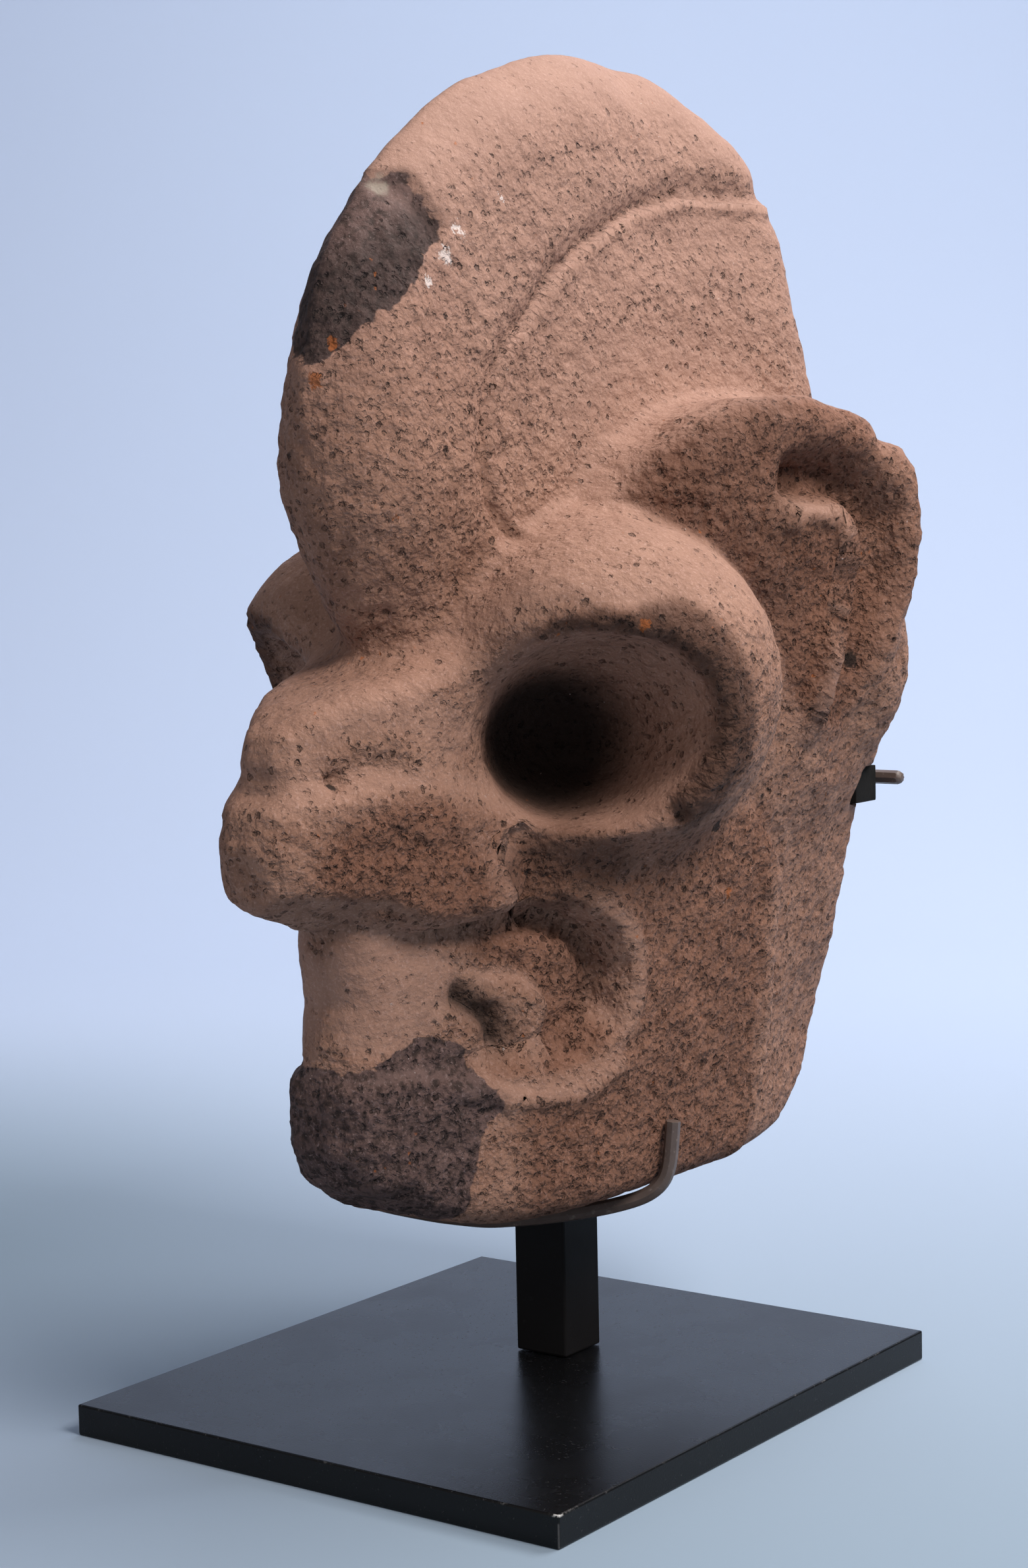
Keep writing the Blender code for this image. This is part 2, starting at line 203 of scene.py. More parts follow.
connect(black_coat.surface["Normal"], black_coat.relief(coat_grain, 0.00003))
dull_coat = Finish("dull_black_coat")
dull_cloud = dull_coat.mottle(0.012, 4, 0.6)
dull_scuffs = dull_coat.fade(dull_coat.mottle(0.0025, 4, 0.7), 0.62, 0.72)
dull_colour = dull_coat.layered((0.0090, 0.0082, 0.0086, 1), (
    (dull_cloud, (0.0136, 0.0124, 0.0132, 1)),
    (dull_scuffs * 0.05, (0.12, 0.11, 0.11, 1))))
connect(dull_coat.surface["Base Color"], dull_colour)
connect(dull_coat.surface["Roughness"], 0.46 + dull_cloud * 0.2)
dull_coat.surface["Specular IOR Level"].default_value = 0.12
connect(dull_coat.surface["Normal"], dull_coat.relief(dull_coat.mottle(0.0008, 2, 0.5), 0.00003))
for node_name, coat in (("base_plate", black_coat), ("mount_post", dull_coat)):
    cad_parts[node_name].data.materials.clear()
    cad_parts[node_name].data.materials.append(coat.material)


# Rods.
# Two lengths of round steel wire, bent cold to the stone and brazed to the post: one crosses
# under the jaw with a prong up each side, the other runs up the back. Both are painted brown.
def smooth_copy(node, name, turn=0.6):
    """Rounder copy of a CAD node, with its sharp edges kept."""
    shape = bmesh.new()
    shape.from_mesh(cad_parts[node].data)
    bmesh.ops.remove_doubles(shape, verts=shape.verts, dist=0.00001)
    bmesh.ops.dissolve_limit(shape, angle_limit=0.01, verts=shape.verts, edges=shape.edges)
    crease = shape.edges.layers.float.new("crease_edge")
    for edge in shape.edges:
        edge.smooth = edge.calc_face_angle(0) < turn
        edge[crease] = 0 if edge.smooth else 0.8
    for face in shape.faces:
        face.smooth = True
    mesh = bpy.data.meshes.new(name)
    shape.to_mesh(mesh)
    shape.free()
    piece = bpy.data.objects.new(name, mesh)
    bpy.context.collection.objects.link(piece)
    rounding = piece.modifiers.new("Rounding", "SUBSURF")
    rounding.levels = 2
    rounding.render_levels = 2
    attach(piece, "root")
    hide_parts(node)
    return piece


brown_paint = Finish("brown_paint")
paint_cloud = brown_paint.mottle(0.006, 4, 0.6)
scuffs = brown_paint.fade(brown_paint.mottle(0.0022, 4, 0.7), 0.56, 0.68)
paint_colour = brown_paint.layered((0.075, 0.050, 0.042, 1), (
    (paint_cloud, (0.150, 0.105, 0.088, 1)),
    (scuffs * 0.6, (0.26, 0.20, 0.175, 1))))
connect(brown_paint.surface["Base Color"], paint_colour)
connect(brown_paint.surface["Roughness"], 0.42 + scuffs * 0.25)
connect(brown_paint.surface["Normal"],
        brown_paint.relief(brown_paint.mottle(0.0012, 3, 0.6), 0.00006))
for node_name, piece_name in (("cradle_rod", "cradle_rod_round"),
                              ("back_arm_rod", "back_rod_round")):
    wire = smooth_copy(node_name, piece_name)
    wire.data.materials.append(brown_paint.material)


# Back pad.
# Small block of black rubber glued into the notch at the stone's near back edge, so that the
# stone bears on it instead of on the rod.
rubber = Finish("pad_rubber")
rubber_cloud = rubber.mottle(0.002, 4, 0.6)
connect(rubber.surface["Base Color"],
        rubber.tint(rubber_cloud, (0.006, 0.006, 0.006, 1), (0.020, 0.018, 0.017, 1)))
connect(rubber.surface["Roughness"], 0.72 + rubber_cloud * 0.2)
rubber.surface["Specular IOR Level"].default_value = 0.1
connect(rubber.surface["Normal"], rubber.relief(rubber.mottle(0.0009, 3, 0.6), 0.00012))
pad = smooth_copy("back_pad", "back_pad_rubber")
pad.data.materials.append(rubber.material)


# Stone.
# One block of brown porous volcanic stone, pecked and ground to a crested head with a sunk
# panel on each side, round eyes, thick ears and a curled mouth. It stands loose in the rods.

# The form is in millimetres: x from the head's mid-plane, y from front to back, and z above the
# stone's lowest point, which is stone_foot above the floor.
stone_foot = 60
back_plane = 131
crest_centre = (61.5, 240)
crest_radii = (152.5, 121)
crest_swells = [(82, 354, 3.2, 17), (120, 319, -2.8, 12), (10, 348, -1.5, 18), (-68, 290, 1.0, 26)]
panel_line = [(140, 317), (116, 316), (78, 315), (50, 308), (22, 296), (4, 285), (-13, 270),
              (-21, 263), (-28, 254), (-34, 242), (-37, 229), (-35, 218), (-27, 207)]
panel_foot = [(-10, 190), (140, 190)]
head_profile = [(131, 236), (131, 44), (120, 24), (100, 10), (75, 2), (30, 0), (0, 0), (-20, 1),
                (-40, 5), (-64, 12), (-83, 22), (-91, 34), (-90, 52), (-87, 61), (-85, 76),
                (-89, 92), (-84, 162), (-40, 175), (20, 230)]
nose_profile = [(-50, 167), (-98, 162), (-109, 155), (-112, 147), (-109, 138), (-60, 130),
                (-30, 130)]
muzzle_profile = [(-30, 138), (-100, 139), (-117, 135), (-120, 124), (-117, 107), (-100, 98),
                  (-80, 95), (-45, 99), (-30, 105)]
eye_ball = ((42, 0, 162), (47, 57, 50))
bowl_mouth = ((63, -32, 153), (29, 32, 26), 50)
bowl_floor = ((38, -18, 147), (28, 23, 20), 65)
swelling_behind_ear = ((60, 115, 166), (16, 18, 29))
ear_front = (47, 4)
ear_back = (82, 120)
ear_outline = [(-1, 219), (14, 232), (30, 242), (49, 248), (73, 249), (91, 245), (99, 242),
               (102, 236), (112, 234), (119, 226), (122, 205), (118, 185), (104, 164), (87, 145),
               (71, 143), (62, 160), (52, 184), (36, 199), (20, 207)]
ear_groove = [(66, 223), (80, 224), (92, 219), (100, 209), (101, 193), (96, 174),
              (93, 162), (88, 150)]
ear_hook = [(54, 212), (68, 214), (80, 211), (86, 202), (85, 190), (81, 178), (75, 158), (73, 146)]
tongue_line = [(-120, 72), (-38, 70)]
pit_line = [(-53, 76), (-45, 70), (-43, 64)]

# Each small hole's centre and radius, and the radius in metres of the dark spot painted over it as
# its shade
small_holes = [((68, 96, 166), 3.2, 0.0034), ((72, -9, 125), 2.6, 0.0030),
               ((59, 29, 119), 2.6, 0.0028)]


def blend_union(a, b, width):
    """Union of two distances with a fillet of the given width."""
    overlap = np.clip(width - np.abs(a - b), 0, None) / width
    return np.minimum(a, b) - overlap * overlap * width / 4


def blend_cut(a, b, width):
    """Common part of two distances with a rounded edge of the given width."""
    return -blend_union(-a, -b, width)


def fade(value, start, end):
    """0 below start, 1 above end, smooth between them."""
    t = np.clip((value - start) / (end - start), 0, 1)
    return t * t * (3 - 2 * t)


def soft_curve(value, knots, heights, width=8):
    """Height read from straight runs between knots, rounded over twice the width."""
    offsets = np.linspace(-width, width, 7)
    return sum(np.interp(value + offset, knots, heights) for offset in offsets) / len(offsets)


def ridge(distance, width):
    """1 on a line and 0 away from it."""
    return np.exp(-(distance / width) ** 2)


def ellipse(y, z, centre, radii):
    """About the distance to an upright ellipse in the side view."""
    dy, dz = (y - centre[0]) / radii[0], (z - centre[1]) / radii[1]
    size = np.sqrt(dy * dy + dz * dz)
    slope = np.sqrt((dy / radii[0]) ** 2 + (dz / radii[1]) ** 2)
    return size * (size - 1) / np.maximum(slope, 1e-9)


def ball(x, y, z, centre, radii, turn=0):
    """About the distance to an ellipsoid, turned by some degrees from +X toward the front."""
    c, s = math.cos(math.radians(turn)), math.sin(math.radians(turn))
    dx, dy = x - centre[0], y - centre[1]
    along = ((dx * c - dy * s) / radii[0], (dx * s + dy * c) / radii[1], (z - centre[2]) / radii[2])
    size = np.sqrt(sum(q * q for q in along))
    slope = np.sqrt(sum((q / r) ** 2 for q, r in zip(along, radii)))
    return size * (size - 1) / np.maximum(slope, 1e-9)


def outline(u, v, points):
    """Distance to a closed outline, negative inside."""
    nearest = np.full(u.shape, 1e18)
    sign = np.ones(u.shape)
    for (au, av), (bu, bv) in zip(points, points[-1:] + points[:-1]):
        eu, ev = bu - au, bv - av
        wu, wv = u - au, v - av
        t = np.clip((wu * eu + wv * ev) / (eu * eu + ev * ev), 0, 1)
        nearest = np.minimum(nearest, (wu - eu * t) ** 2 + (wv - ev * t) ** 2)
        above, below, left = v >= av, v < bv, eu * wv > ev * wu
        crossed = (above & below & left) | (~above & ~below & ~left)
        sign = np.where(crossed, -sign, sign)
    return sign * np.sqrt(nearest)


def stroke(u, v, points):
    """Distance to an open line of straight runs."""
    nearest = np.full(u.shape, 1e18)
    for (au, av), (bu, bv) in zip(points[:-1], points[1:]):
        eu, ev = bu - au, bv - av
        t = np.clip(((u - au) * eu + (v - av) * ev) / (eu * eu + ev * ev), 0, 1)
        nearest = np.minimum(nearest, (u - au - eu * t) ** 2 + (v - av - ev * t) ** 2)
    return np.sqrt(nearest)


def crest(x, y, z):
    """Tall thin crest: a rounded keel in front, and a panel behind an incised line on each side."""
    back_slope = 0.52 * (y - 84) + 0.854 * (z - 354)
    side_view = blend_cut(ellipse(y, z, crest_centre, crest_radii), back_slope, 16)
    side_view = blend_cut(side_view, y - back_plane, 18)
    for centre_y, centre_z, swell, reach in crest_swells:
        side_view -= swell * ridge(np.hypot(y - centre_y, z - centre_z), reach)
    narrowing = 0.12 + 0.12 * fade(y, 0, 110)
    half = 24 + 0.085 * (y + 25) + 7 * fade(y, 50, 125) - narrowing * (z - 250)
    half = np.clip(half, 10, 60)
    half -= 11 * (1 - fade(z, 175, 230)) * (1 - fade(y, -50, -10))
    panel = outline(y, z, panel_line + panel_foot)
    panel_edge = stroke(y, z, panel_line)
    inner = np.where(panel < 0, panel_edge, -panel_edge)
    half -= 2.6 * fade(inner, -9, 0.5) + 1.7 * ridge(inner, 1.7) - 1.5 * ridge(inner - 3.2, 1.9)
    return blend_cut(side_view, x - half, 30 - 14 * fade(y, 60, 110))


def mouth_reach(y, z):
    """How far a point is inside the mouth's outline, in the side view."""
    return 24 - stroke(y, z, [(-120, 78), (-27, 76)])


def mouth_depth(y, z):
    """Depth of the mouth below the cheek: a tongue with a pit, and a channel curled round it."""
    inside = mouth_reach(y, z)
    open_part = fade(inside / (2.0 + 4.5 * (1 - fade(z, 56, 72))), 0, 1)
    back = fade(y, -62, -38)
    depth = open_part * (4.5 + 6 * back)
    depth += 5.5 * ridge(inside - 4.2, 3.6) * back * fade(z, 46, 56)
    depth += 2.5 * ridge(inside - 5, 4) * fade(y, -85, -60) * fade(z, 84, 92)
    tongue = stroke(y, z, tongue_line)
    depth -= 6 * back * open_part * (1 - fade(tongue, 10 - 8 * fade(z, 70, 84), 14))
    depth += 5.5 * ridge(stroke(y, z, pit_line), 3.6) * open_part
    lower_lip = stroke(y, z, [(-60, 60), (-42, 57), (-31, 60)])
    depth -= 1.8 * ridge(lower_lip, 2.6) * open_part
    ledge = stroke(y, z, [(-60, 50), (-41, 45), (-22, 44), (-8, 50)])
    depth -= 3.2 * ridge(ledge, 3.4) + 2.0 * ridge(inside + 3.5, 3) * back * fade(z, 52, 66)
    return depth


def behind_lip(y, z):
    """How far a point is behind the slanted rear edge of the upper lip."""
    return y + 44 + 0.5 * (z - 110)


def head(x, y, z):
    """Jaw, cheeks and back of the head."""
    half = soft_curve(y, [-120, -92, -60, -40, -7, 40, 67, 100, 131],
                      [5, 15, 26, 36, 50, 57, 58, 57, 55.5])
    rear = fade(y, -60, 60)
    half -= rear * soft_curve(z, [0, 15, 40, 71, 99, 130, 155, 180, 210, 240],
                              [11, 10, 7, 4, 0, -3, -6, 0, 14, 25])
    half -= fade(y, 70, 125) * soft_curve(z, [0, 25, 44, 71, 99], [4, 4, 9, 2.5, 0])
    cheek_back = soft_curve(z, [0, 10, 40, 105, 130], [54, 62, 72, 70, 40])
    half -= 5 * fade(y - cheek_back, -1, 2.5) * (1 - fade(z, 95, 145))
    half += 1.2 * ridge(y - cheek_back + 5, 5) * (1 - fade(z, 95, 125))
    behind = behind_lip(y, z)
    half -= 6.5 * fade(behind, -4, -1) * (1 - fade(behind, 2, 34)) * fade(z, 94, 100) * (
        1 - fade(z, 116, 130))
    half -= mouth_depth(y, z)
    shape = blend_cut(outline(y, z, head_profile), x - half, 12)
    underside = (0.27 * (x - 11) - z) / math.hypot(1, 0.27)
    return blend_cut(shape, underside, 8)


def nose(x, y, z):
    """Short blunt nose with a nostril sunk into each side."""
    half = soft_curve(y, [-110, -98, -60, -40], [9, 15, 26, 36], 4)
    shape = blend_cut(outline(y, z, nose_profile), x - half, 7)
    nostril = blend_cut(np.sqrt(((y + 85) / 1.55) ** 2 + (z - 141) ** 2) - 10, 138 - z, 1.5)
    deep = np.sqrt((y + 98) ** 2 + (z - 141) ** 2)
    return shape + (2.6 * (1 - fade(nostril, -5, 0)) + 5 * ridge(deep, 2.6)) * fade(x, 4, 9)


def muzzle(x, y, z):
    """Heavy upper lip that stands out under the nose, its lower front corner dressed off."""
    half = soft_curve(y, [-118, -108, -60, -44, -40], [11, 16, 32, 37.5, 38], 4)
    corner = 0.50 * (x - 15) + 0.25 * (-y - 105) + 0.83 * (112 - z) - 2
    shape = blend_cut(outline(y, z, muzzle_profile), x - half, 8)
    shape = blend_cut(shape, np.where(y < -85, corner, corner - 0.3 * (y + 85)), 3)
    return blend_cut(shape, behind_lip(y, z) - 30 * fade(z, 120, 131), 2)


def ear_place(x, y):
    """Distances along the ear and out from the plane that it lies in."""
    run = (ear_back[0] - ear_front[0], ear_back[1] - ear_front[1])
    length = math.hypot(*run)
    dx, dy = x - ear_front[0], y - ear_front[1]
    return (dx * run[0] + dy * run[1]) / length, (dx * run[1] - dy * run[0]) / length


def ear(x, y, z):
    """Thick ear with a hooked groove, laid along the side of the head."""
    along, outward = ear_place(x, y)
    rim = outline(along, z, ear_outline)
    surface = outward - 3 + 15 * ridge(stroke(along, z, ear_groove), 7.5)
    surface += 4 * ridge(np.hypot(along - 67, z - 221), 6)
    surface -= (6 + 4 * ridge(z - 183, 17)) * ridge(stroke(along, z, ear_hook), 4.2)
    surface += 3.5 * fade(along, 48, 66) * (1 - fade(z, 186, 206)) * (1 - fade(along, 78, 92))
    surface += 9 * (1 - fade(along, -5, 30)) - 1.5
    return blend_cut(blend_cut(rim, surface, 12), -outward - 45, 4)


def eye_socket(x, y, z):
    """Deep bowl sunk into the eye, deepest toward the nose."""
    return blend_union(ball(x, y, z, *bowl_mouth), ball(x, y, z, *bowl_floor), 24)


pad_low, pad_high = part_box("back_pad")
pad_gap = 0.3


def notch(side, y, z):
    """Square notch for the pad in the near back edge, about its distance."""
    foot, top = [corner.z * 1000 - stone_foot for corner in (pad_low, pad_high)]
    return np.maximum.reduce([pad_low.x * 1000 - side, pad_low.y * 1000 - y, foot - z,
                              z - top]) - pad_gap


def carving(side, y, z):
    """The whole carved head, the same on both sides of its mid-plane but for the notch."""
    x = np.sqrt(side * side + 1)
    shape = blend_union(head(x, y, z), crest(x, y, z), 14)
    shape = blend_union(shape, ball(x, y, z, *eye_ball), 12)
    shape = blend_union(shape, nose(x, y, z), 16)
    shape = blend_union(shape, muzzle(x, y, z), 3 + 8 * fade(z, 116, 128))
    shape = blend_union(shape, ball(x, y, z, *swelling_behind_ear), 8)
    shape = blend_union(shape, ear(x, y, z), 9)
    shape = blend_cut(shape, -eye_socket(x, y, z), 11 + 12 * fade(-y, 28, 52))
    for (hole_x, hole_y, hole_z), radius, _ in small_holes:
        hole = np.sqrt((x - hole_x) ** 2 + (y - hole_y) ** 2 + (z - hole_z) ** 2) - radius
        shape = blend_cut(shape, -hole, 1)
    return blend_cut(shape, -notch(side, y, z), 0.6)


def steepest(x, y, z, step=0.4):
    """Direction in which the distance grows, as unit vectors, and how fast it grows."""
    slope = np.stack([carving(x + step, y, z) - carving(x - step, y, z),
                      carving(x, y + step, z) - carving(x, y - step, z),
                      carving(x, y, z + step) - carving(x, y, z - step)], 1) / (2 * step)
    rate = np.maximum(np.linalg.norm(slope, axis=1), 0.45)
    return slope / rate[:, None], rate


def in_metres(places):
    """Places of the carving, moved from its millimetres to the part's own metres."""
    return (places + (0, 0, stone_foot)) / 1000


stone_shape = bmesh.new()
stone_shape.from_mesh(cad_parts["stone_hacha"].data)
bmesh.ops.remove_doubles(stone_shape, verts=stone_shape.verts, dist=0.00001)
stone_mesh = bpy.data.meshes.new("carved_stone")
stone_shape.to_mesh(stone_mesh)
stone_shape.free()
coarse_stone = bpy.data.objects.new("carved_stone", stone_mesh)
bpy.context.collection.objects.link(coarse_stone)
grid = coarse_stone.modifiers.new("Grid", "REMESH")
grid.mode = "VOXEL"
grid.voxel_size = 0.00185
bpy.context.view_layer.update()
stone_mesh = bpy.data.meshes.new_from_object(
    coarse_stone.evaluated_get(bpy.context.evaluated_depsgraph_get()))
bpy.data.objects.remove(coarse_stone)
stone_mesh.name = "carved_stone"

stone_shape = bmesh.new()
stone_shape.from_mesh(stone_mesh)
for relax in (0.3, 0.2, 0.1, 0, 0):
    if relax:
        bmesh.ops.smooth_vert(stone_shape, verts=stone_shape.verts, factor=relax, use_axis_x=True,
                              use_axis_y=True, use_axis_z=True)
    places = np.array([vert.co for vert in stone_shape.verts]) * 1000 - (0, 0, stone_foot)
    normals, rate = steepest(*places.T)
    places -= normals * np.clip(carving(*places.T) / rate, -2, 2)[:, None]
    for vert, place in zip(stone_shape.verts, in_metres(places)):
        vert.co = place
normals = steepest(*places.T)[0]
stone_x, stone_y, stone_z = places.T


def lumps(size, seed):
    """Smooth uneven pattern at every point of the stone, from about -1 to 1."""
    shift = Vector((seed * 17.3, seed * 5.9, seed * 11.1))
    return np.array([noise.noise(Vector(place) / size + shift) for place in places])


def cells(size, seed):
    """Distance of every point of the stone from the nearest pit centre, in pit spacings."""
    shift = Vector((seed * 7.7, seed * 3.1, seed * 13.7))
    return np.array([noise.voronoi(Vector(place) / size + shift)[0][0] for place in places])


def patch(centre, radii, start, end):
    """1 well inside a ball on either flank and 0 outside it, at every point of the stone."""
    return fade(-ball(flank, stone_y, stone_z, centre, radii), start, end)


def line_zone(points, width):
    """1 on a line of the side view and 0 away from it, at every point of the stone."""
    return ridge(stroke(stone_y, stone_z, points), width)


# Where the stone is worn smooth, hollow, stained or broken, and where shade and light are painted
# on it
upward_facing = fade(normals[:, 2], 0.05, 0.6)
hollow = np.clip(1 - carving(*(places + 7 * normals).T) / 7, 0, 1)
wide_hollow = np.clip(1 - carving(*(places + 18 * normals).T) / 18, 0, 1)
proud = np.clip(-carving(*(places - 6 * normals).T) / 6, 0, 1)
flank = np.abs(stone_x)
nose_zone = patch((10, -80, 152), (26, 42, 19), -6, 4)
nostril_zone = patch((22, -85, 143), (12, 18, 10), -3, 3) * (1 - upward_facing)
mouth_zone = patch((16, -84, 80), (18, 34, 20), -6, 5)
ring_top = patch((58, 10, 196), (30, 50, 24), -8, 6)
valley = patch((26, -20, 214), (16, 40, 26), -8, 8)
panel_low = patch((32, 45, 246), (18, 60, 34), -8, 8)
lip_edge = ridge(mouth_reach(stone_y, stone_z) + 4, 3.5) * fade(stone_y, -62, -38)
lip_edge *= 1 - (1 - fade(stone_y, -30, -12)) * fade(stone_z, 80, 92)
muzzle_side = patch((30, -75, 116), (22, 38, 19), -5, 4) * fade(
    normals[:, 0] * np.sign(stone_x), 0.4, 0.8)
cheek = fade(stone_y, -46, -34) * (1 - fade(stone_y, 58, 68)) * (1 - fade(stone_z, 116, 128)) * (
    1 - fade(mouth_reach(stone_y, stone_z), -6, -1))
crest_front = patch((10, -66, 226), (30, 40, 60), -14, 10)
ear_along, ear_out = ear_place(flank, stone_y)
ear_hook_edge = ridge(stroke(ear_along, stone_z, ear_hook), 4.5) * fade(ear_out, -16, -8)
ear_side = fade(-outline(ear_along, stone_z, ear_outline), -2, 3) * fade(ear_out, -18, -10)
ledge_edge = np.maximum(line_zone([(-60, 49), (-41, 46), (-22, 45), (-8, 51)], 2.6),
                        line_zone([(-31, 61), (-42, 58), (-60, 60)], 2.6))
tongue_side = stroke(stone_y, stone_z, tongue_line)
channel = fade(mouth_reach(stone_y, stone_z) + 4 * (1 - fade(stone_z, 56, 66)), 1, 4) * fade(
    stone_y, -54, -40) * fade(tongue_side, 12, 15)
behind_muzzle = behind_lip(stone_y, stone_z) + 1
lip_shade = patch((40, -26, 111), (26, 22, 13), -4, 5) * fade(behind_muzzle, -2.5, -0.5)
# Painted shade in the deep of the eye socket and in the mouth's pit
socket_shade = patch((19, -6, 146), (24, 26, 25), -12, 9)
pit_shade = line_zone(pit_line, 5) * (1 - fade(tongue_side, 11, 14))
bowl = eye_socket(flank, stone_y, stone_z)
eye = ball(flank, stone_y, stone_z, *eye_ball)
toward_back = 0.806 * (flank - 57) + 0.592 * (stone_y + 20)
widening = fade(toward_back, 0, 20)
ring_band = 1 - fade(bowl, 5 + 6 * widening, 10 + 7 * widening)
ring_band *= fade(eye, -11, -5) * (bowl < 30) * fade(flank, 40, 50) * fade(
    0.9 * toward_back + 0.6 * (stone_z - 152), -10, 4)
bowl_wall = (1 - fade(bowl, 1, 3)) * (1 - fade(eye, -13, -7))
ear_shade = ridge(stroke(ear_along, stone_z, ear_groove), 8) * fade(ear_out, -20, -12)
# Patina and painted shade: the stone is darkened on the muzzle's side, the cheek, the crest's lower
# front, the band round the eye, the mouth's channel, the ear's front and groove, and behind the
# upper lip. This is partly its own dark patina and partly painted shade on faces turned from the
# light and in grooves
patina_and_shade = np.maximum.reduce([muzzle_side * (1 - 0.5 * fade(behind_muzzle, -12, -5)), 0.80 * cheek,
                            0.25 * crest_front, ring_band, lip_shade, 0.85 * channel,
                            ear_side * (1 - 0.45 * fade(ear_along, 88, 104)), ear_shade])
patina_and_shade *= (1 - ear_hook_edge) * (1 - 0.7 * lip_edge) * (1 - ledge_edge)
# Wear and painted top light: surfaces facing up are painted paler as if lit from above, the crest
# grows paler towards its top, and the listed smooth places are worn paler
wear_and_top_light = 0.35 + 0.45 * upward_facing + 0.2 * fade(stone_z, 230, 330)
for smooth_part, share in ((nose_zone * (1 - nostril_zone), 0.70), (mouth_zone, 0.85),
                           (ring_top, 0.62), (valley, 0.42), (panel_low, 0.7), (lip_edge, 0.7),
                           (ear_hook_edge, 1.0), (ledge_edge, 0.9), (bowl_wall, 0.55)):
    wear_and_top_light = np.maximum(wear_and_top_light, share * smooth_part)
wear_and_top_light *= (1 - 0.75 * patina_and_shade) * (1 - 0.5 * hollow)
wear_and_top_light = np.clip(wear_and_top_light + 0.5 * (1 - proud), 0, 1)
wander = 1.5 * lumps(9, 3) + 1.5 * lumps(3.5, 4)
crest_patch = [(-61, 312), (-49, 311), (-48, 306), (-43, 297), (-46, 292), (-50, 289), (-54, 284),
               (-64, 274), (-72, 269), (-81, 262), (-86, 259), (-90, 250), (-110, 244), (-110, 290),
               (-75, 325)]
chin_patch = [(-110, 56), (-86, 58), (-80, 60), (-74, 63), (-63, 66), (-59, 65), (-54, 62),
              (-53, 57), (-50, 48), (-48, 43), (-53, 35), (-55, 21), (-58, 4), (-110, 0)]
crest_edge = -outline(stone_y, stone_z, crest_patch)
crest_stain = fade(crest_edge + wander, -1.0, 1.5) * fade(stone_x, -14, -6)
chin_edge = -outline(stone_y, stone_z, chin_patch)
chin_stain = fade(chin_edge + wander, -1.0, 1.5) * fade(stone_x, -24, -16)
stained = np.maximum(crest_stain, chin_stain)
# Blackest part of the stain: low on the crest patch, and in spots on the chin
stain_black = crest_stain * (1 - fade(stone_z - 0.6 * (stone_y + 85), 268, 292)) + 0.3 * chin_stain * fade(
    lumps(16, 12), -0.2, 0.4)
break_edge = stroke(stone_y, stone_z, [(-54, 313), (-48, 308), (-43, 297)])
broken = fade(crest_edge, -0.4, 0.8) * (1 - fade(break_edge, 0, 12)) * (stone_x > 0)

# Relief: uneven hand work, pecked pits, and the rough floor of the two broken, stained places
rough = 1 - wear_and_top_light
sink = 0.1 + 0.7 * lumps(30, 1) + 0.4 * lumps(11, 2)
sink += (0.2 + 1.0 * rough) * (0.7 * lumps(5.5, 6) + 0.7 * lumps(3.0, 13))
sink += rough * 1.2 * (1 - fade(cells(7.5, 5), 0.08, 0.34)) + 0.5 * muzzle_side * lumps(3.5, 15)
sink += stained * (0.7 + 0.6 * lumps(7, 8) + 0.5 * lumps(3.6, 9)) + 2.6 * broken
sink += ring_band * (0.3 + 0.8 * lumps(4, 10))
in_notch = fade(-notch(stone_x, stone_y, stone_z), -3, 0)
held = np.maximum(1 - fade(stone_z, 28, 36), fade(normals[:, 1], 0.4, 0.7))
held *= fade(stone_y, -66, -58)
sink = np.maximum(sink, -1.2 * (1 - held))
sink = np.minimum(sink, 4.5) * (1 - in_notch)
places -= normals * sink[:, None]
low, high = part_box("stone_hacha")
places = np.clip(in_metres(places), np.array(low), np.array(high))
for vert, place in zip(stone_shape.verts, places):
    vert.co = place
for face in stone_shape.faces:
    face.smooth = True
stone_shape.to_mesh(stone_mesh)
stone_shape.free()
# Painted shade in the hollows, less on the wall of the eye's bowl
painted_hollow_shade = 0.5 * (hollow + wide_hollow) * (1 - 0.85 * bowl_wall)
# Painted shade, near black at its strongest: in the deep of the eye socket, in the mouth's pit, on
# the band round the eye, behind the upper lip and on the ear's front
deep = np.maximum.reduce([socket_shade, 0.9 * pit_shade, 0.55 * ring_band, 0.4 * lip_shade,
                          0.2 * ear_side * (1 - fade(ear_along, 50, 80))])
for name, values in (("wear_and_top_light", wear_and_top_light), ("hollow", painted_hollow_shade), ("stained", stained), ("stain_black", stain_black),
                     ("patina_and_shade", patina_and_shade), ("deep", deep), ("sunk", np.clip(sink / 3, 0, 1))):
    layer = stone_mesh.attributes.new(name, "FLOAT", "POINT")
    layer.data.foreach_set("value", values.astype(np.float32))
stone = bpy.data.objects.new("carved_stone", stone_mesh)
bpy.context.collection.objects.link(stone)
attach(stone, "root")
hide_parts("stone_hacha")

volcanic = Finish("volcanic_stone_surface")


def zone(name):
    """Channel with one of the values kept at the stone's points."""
    return volcanic.node("Attribute", {"attribute_name": name}, {}, "Fac")


